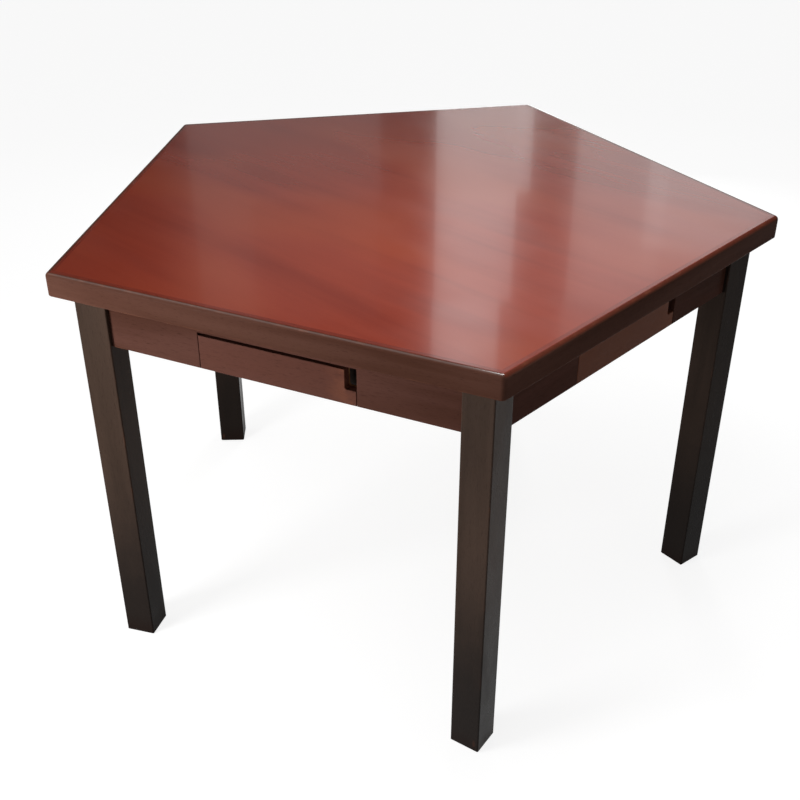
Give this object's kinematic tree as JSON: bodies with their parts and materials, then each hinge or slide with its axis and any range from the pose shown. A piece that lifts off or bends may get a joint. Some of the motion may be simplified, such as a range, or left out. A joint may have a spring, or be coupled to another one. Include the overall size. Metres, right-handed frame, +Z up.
{
  "type": "games table",
  "caption": "Free-standing pentagonal games table with a glossy lacquered top, square corner legs and shallow drawers with finger notches in the aprons.",
  "frame": {"origin": "on the floor under the middle of the top's bounding box", "axes": "+Z up from the floor; +X along the front side, towards the right as seen from the front; the front side faces -Y and one corner points to +Y"},
  "size_m": [1.2266, 1.1674, 0.75],
  "materials": {
    "top_lacquer": "gloss lacquer over red-brown mahogany",
    "edge_lacquer": "satin lacquer over dark stained hardwood",
    "dark_lacquer": "satin lacquer over dark stained mahogany",
    "beech": "planed, waxed where it slides",
    "poplar": "sanded and sealed",
    "plywood": "sanded and sealed",
    "zinc_steel": "bright zinc plate"
  },
  "bodies": {
    "frame": {"top_panel": "top_lacquer", "lipping_front": "edge_lacquer", "lipping_right": "edge_lacquer", "lipping_back_right": "edge_lacquer", "lipping_back_left": "edge_lacquer", "lipping_left": "edge_lacquer", "apron_front": "dark_lacquer", "apron_right": "dark_lacquer", "apron_back_right": "dark_lacquer", "apron_back_left": "dark_lacquer", "apron_left": "dark_lacquer", "leg_front_right": "dark_lacquer", "leg_right": "dark_lacquer", "leg_back": "dark_lacquer", "leg_left": "dark_lacquer", "leg_front_left": "dark_lacquer", "corner_block_front_right": "beech", "corner_block_right": "beech", "corner_block_back": "beech", "corner_block_left": "beech", "corner_block_front_left": "beech", "front_runner_left": "beech", "front_runner_right": "beech", "right_runner_left": "beech", "right_runner_right": "beech", "back_right_runner_left": "beech", "back_right_runner_right": "beech", "back_left_runner_left": "beech", "back_left_runner_right": "beech", "left_runner_left": "beech", "left_runner_right": "beech", "hanger_bolts": "zinc_steel", "nuts": "zinc_steel", "coach_screws": "zinc_steel"},
    "front_drawer": {"front_drawer_face": "dark_lacquer", "front_drawer_left_wall": "poplar", "front_drawer_right_wall": "poplar", "front_drawer_back": "poplar", "front_drawer_bottom": "plywood"},
    "right_drawer": {"right_drawer_face": "dark_lacquer", "right_drawer_left_wall": "poplar", "right_drawer_right_wall": "poplar", "right_drawer_back": "poplar", "right_drawer_bottom": "plywood"},
    "back_right_drawer": {"back_right_drawer_face": "dark_lacquer", "back_right_drawer_left_wall": "poplar", "back_right_drawer_right_wall": "poplar", "back_right_drawer_back": "poplar", "back_right_drawer_bottom": "plywood"},
    "back_left_drawer": {"back_left_drawer_face": "dark_lacquer", "back_left_drawer_left_wall": "poplar", "back_left_drawer_right_wall": "poplar", "back_left_drawer_back": "poplar", "back_left_drawer_bottom": "plywood"},
    "left_drawer": {"left_drawer_face": "dark_lacquer", "left_drawer_left_wall": "poplar", "left_drawer_right_wall": "poplar", "left_drawer_back": "poplar", "left_drawer_bottom": "plywood"}
  },
  "joints": [
    {"name": "front_drawer_slide", "type": "slide", "parent": "frame", "child": "front_drawer", "axis": [0, -1, 0], "range_m": [0, 0.158]},
    {"name": "right_drawer_slide", "type": "slide", "parent": "frame", "child": "right_drawer", "axis": [0.9511, -0.309, 0], "range_m": [0, 0.158]},
    {"name": "back_right_drawer_slide", "type": "slide", "parent": "frame", "child": "back_right_drawer", "axis": [0.5878, 0.809, 0], "range_m": [0, 0.158]},
    {"name": "back_left_drawer_slide", "type": "slide", "parent": "frame", "child": "back_left_drawer", "axis": [-0.5878, 0.809, 0], "range_m": [0, 0.158]},
    {"name": "left_drawer_slide", "type": "slide", "parent": "frame", "child": "left_drawer", "axis": [-0.9511, -0.309, 0], "range_m": [0, 0.158]}
  ]
}
